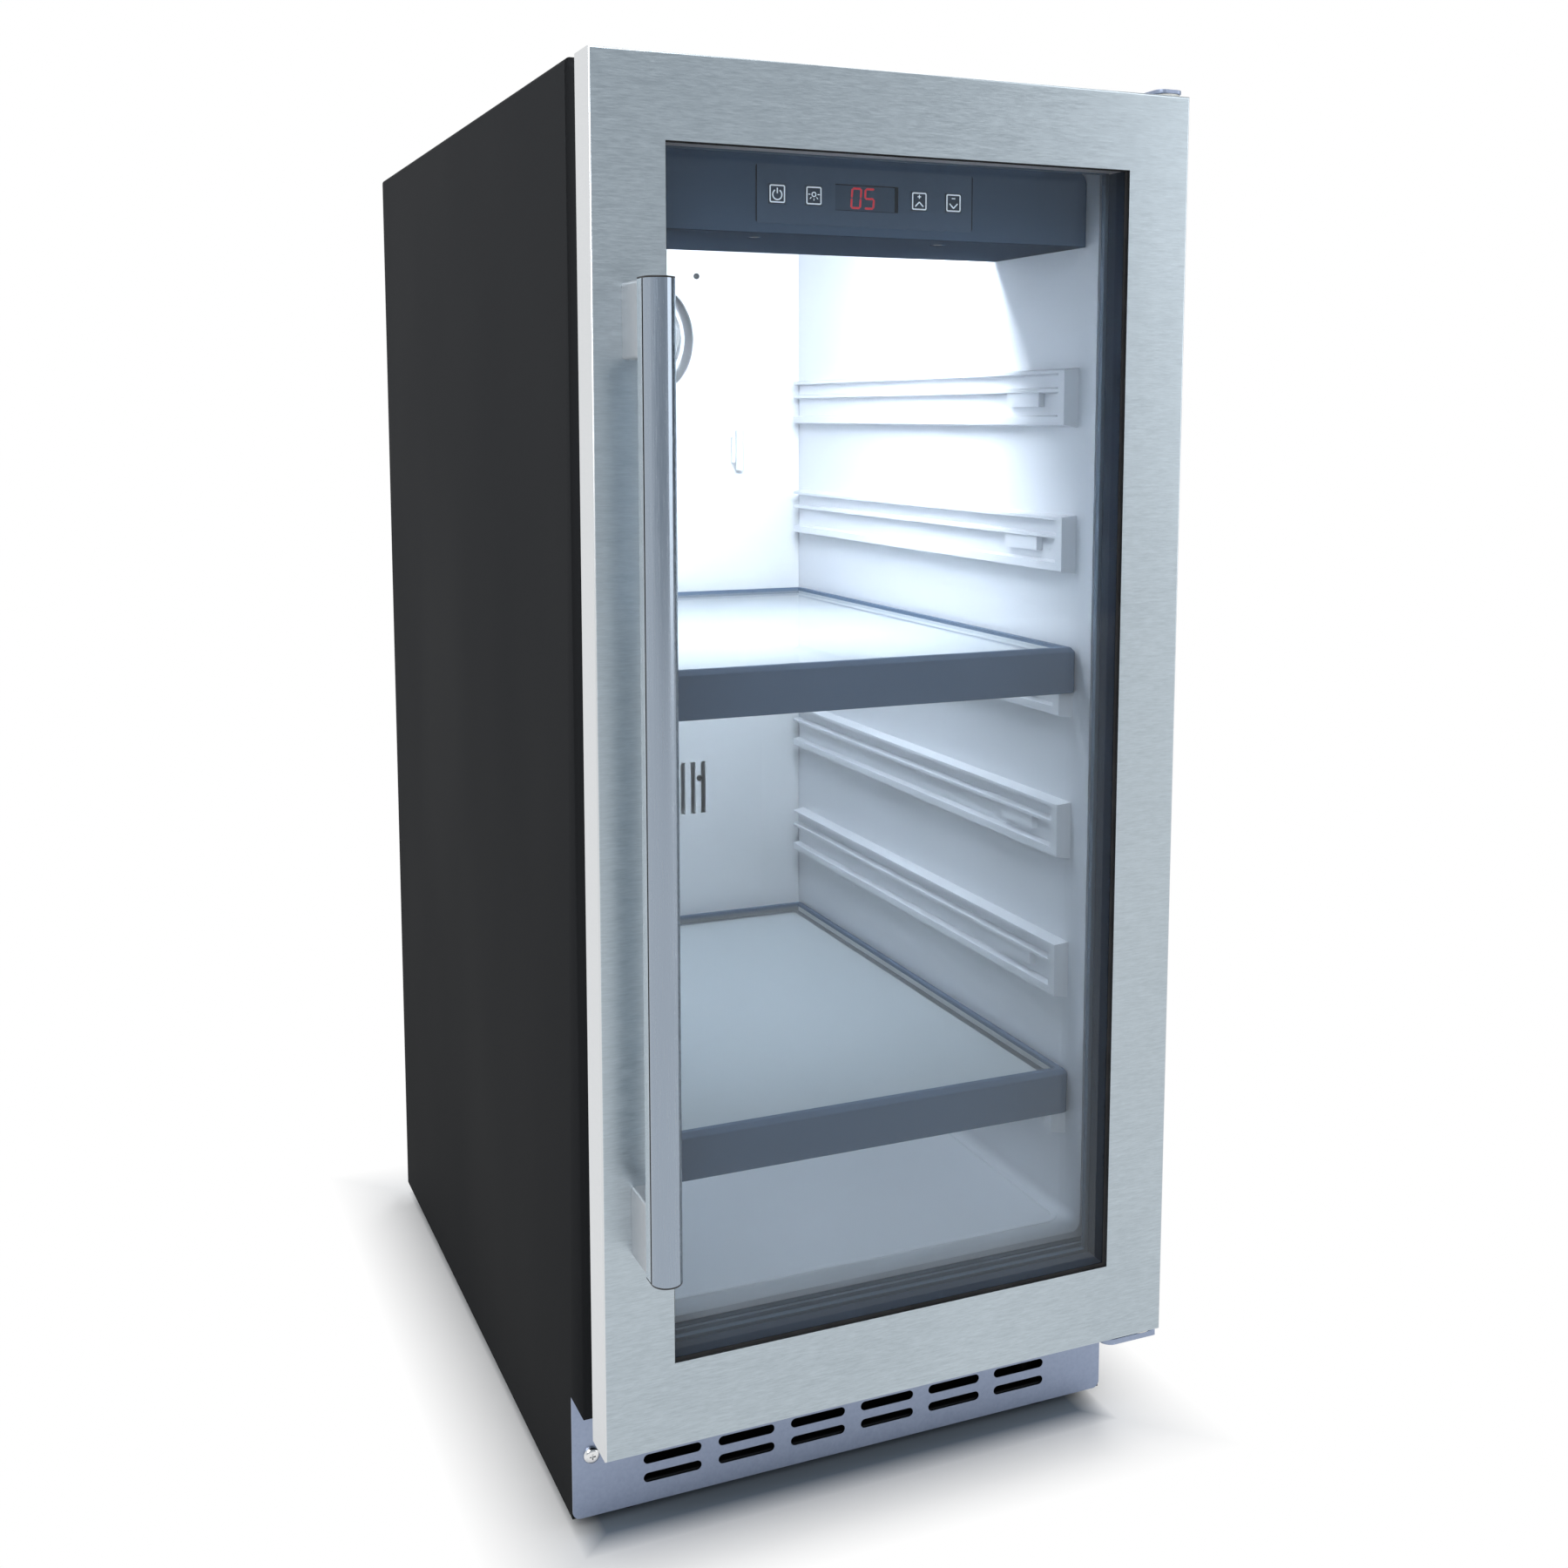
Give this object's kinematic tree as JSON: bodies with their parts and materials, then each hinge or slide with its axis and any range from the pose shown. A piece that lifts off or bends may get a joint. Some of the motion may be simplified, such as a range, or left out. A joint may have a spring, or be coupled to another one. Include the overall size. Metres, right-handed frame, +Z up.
{
  "type": "under-counter glass-door drinks fridge",
  "caption": "Narrow under-counter drinks fridge with a hinged glass door in a steel frame, pull bar handle, sliding shelves, control panel and slotted kick plate.",
  "frame": {"origin": "on the floor, under the middle of the overall box", "axes": "+X to the viewer's right, +Y from the door to the back, +Z up"},
  "size_m": [0.38, 0.636, 0.8845],
  "materials": {
    "cabinet_black": "satin",
    "galvanised": "satin",
    "foam": "matte",
    "liner_white": "gloss",
    "door_steel": "brushed",
    "handle_metal": "satin",
    "bright_metal": "polished",
    "hinge_metal": "satin",
    "dark_plastic": "matte",
    "black_plastic": "matte",
    "rubber_black": "matte",
    "clear_glass": "polished",
    "overlay_film": "gloss",
    "display_dark": "gloss",
    "key_dark": "gloss",
    "board_green": "matte",
    "lamp_white": "satin",
    "white_plastic": "satin",
    "compressor_black": "satin",
    "coil_metal": "satin",
    "copper": "satin",
    "nylon": "satin"
  },
  "bodies": {
    "cabinet": {"cabinet_shell": "cabinet_black", "rear_panel": "galvanised", "foam_insulation": "foam", "inner_liner": "liner_white", "lower_front_rail": "cabinet_black", "base_pan": "galvanised", "kick_plate": "hinge_metal", "kick_plate_screws": "bright_metal", "compartment_bulkhead": "galvanised", "rear_cover": "galvanised", "cord_gland": "rubber_black", "compressor": "compressor_black", "compressor_grommets": "rubber_black", "condenser_coil": "coil_metal", "condenser_fan_shroud": "black_plastic", "condenser_fan_motor": "compressor_black", "drip_tray": "black_plastic", "refrigerant_pipes": "copper", "filter_drier": "copper", "evaporator_coil": "coil_metal", "air_duct_panel": "white_plastic", "fan_grille": "white_plastic", "evaporator_fan_motor": "compressor_black", "temperature_sensor": "white_plastic", "control_housing": "dark_plastic", "control_overlay": "overlay_film", "display_module": "display_dark", "control_board": "board_green", "led_strip": "board_green", "led_diffuser": "lamp_white", "hinge_plate_top": "hinge_metal", "hinge_plate_bottom": "hinge_metal", "hinge_pins": "bright_metal", "hinge_screws": "bright_metal"},
    "door": {"door_frame": "door_steel", "door_inner_frame": "dark_plastic", "glazing_seal": "rubber_black", "glass_outer": "clear_glass", "glass_inner": "clear_glass", "glass_spacer": "dark_plastic", "door_gasket": "rubber_black", "handle_bar": "handle_metal", "handle_posts": "handle_metal", "handle_end_caps": "black_plastic", "hinge_bushes": "nylon"},
    "shelf_upper": {"shelf_upper_frame": "dark_plastic", "shelf_upper_glass": "clear_glass"},
    "shelf_lower": {"shelf_lower_frame": "dark_plastic", "shelf_lower_glass": "clear_glass"},
    "evaporator_fan": {"evaporator_fan_blade": "white_plastic"},
    "condenser_fan": {"condenser_fan_blade": "black_plastic"},
    "key_power": {"key_power": "key_dark"},
    "key_light": {"key_light": "key_dark"},
    "key_up": {"key_up": "key_dark"},
    "key_down": {"key_down": "key_dark"},
    "foot_front_left": {"levelling_foot_front_left": "black_plastic"},
    "foot_front_right": {"levelling_foot_front_right": "black_plastic"},
    "foot_rear_left": {"levelling_foot_rear_left": "black_plastic"},
    "foot_rear_right": {"levelling_foot_rear_right": "black_plastic"}
  },
  "joints": [
    {"name": "door_hinge", "type": "hinge", "parent": "cabinet", "child": "door", "pos_m": [0.18, -0.261, 0.48], "axis": [0, 0, 1], "range_deg": [0, 110]},
    {"name": "shelf_upper_slide", "type": "slide", "parent": "cabinet", "child": "shelf_upper", "axis": [0, -1, 0], "range_m": [0, 0.012]},
    {"name": "shelf_lower_slide", "type": "slide", "parent": "cabinet", "child": "shelf_lower", "axis": [0, -1, 0], "range_m": [0, 0.012]},
    {"name": "evaporator_fan_spin", "type": "hinge", "parent": "cabinet", "child": "evaporator_fan", "pos_m": [0, 0.25, 0.75], "axis": [0, -1, 0], "continuous": true},
    {"name": "condenser_fan_spin", "type": "hinge", "parent": "cabinet", "child": "condenser_fan", "pos_m": [-0.095, -0.11, 0.0582], "axis": [0, -1, 0], "continuous": true},
    {"name": "key_power_press", "type": "slide", "parent": "cabinet", "child": "key_power", "axis": [0, 1, 0], "range_m": [0, 0.0008], "stiffness_N_per_m": 400},
    {"name": "key_light_press", "type": "slide", "parent": "cabinet", "child": "key_light", "axis": [0, 1, 0], "range_m": [0, 0.0008], "stiffness_N_per_m": 400},
    {"name": "key_up_press", "type": "slide", "parent": "cabinet", "child": "key_up", "axis": [0, 1, 0], "range_m": [0, 0.0008], "stiffness_N_per_m": 400},
    {"name": "key_down_press", "type": "slide", "parent": "cabinet", "child": "key_down", "axis": [0, 1, 0], "range_m": [0, 0.0008], "stiffness_N_per_m": 400},
    {"name": "foot_front_left_turn", "type": "hinge", "parent": "cabinet", "child": "foot_front_left", "pos_m": [-0.148, -0.1728, 0.01], "axis": [0, 0, 1], "continuous": true},
    {"name": "foot_front_right_turn", "type": "hinge", "parent": "cabinet", "child": "foot_front_right", "pos_m": [0.148, -0.1728, 0.01], "axis": [0, 0, 1], "continuous": true},
    {"name": "foot_rear_left_turn", "type": "hinge", "parent": "cabinet", "child": "foot_rear_left", "pos_m": [-0.148, 0.273, 0.01], "axis": [0, 0, 1], "continuous": true},
    {"name": "foot_rear_right_turn", "type": "hinge", "parent": "cabinet", "child": "foot_rear_right", "pos_m": [0.148, 0.273, 0.01], "axis": [0, 0, 1], "continuous": true}
  ]
}
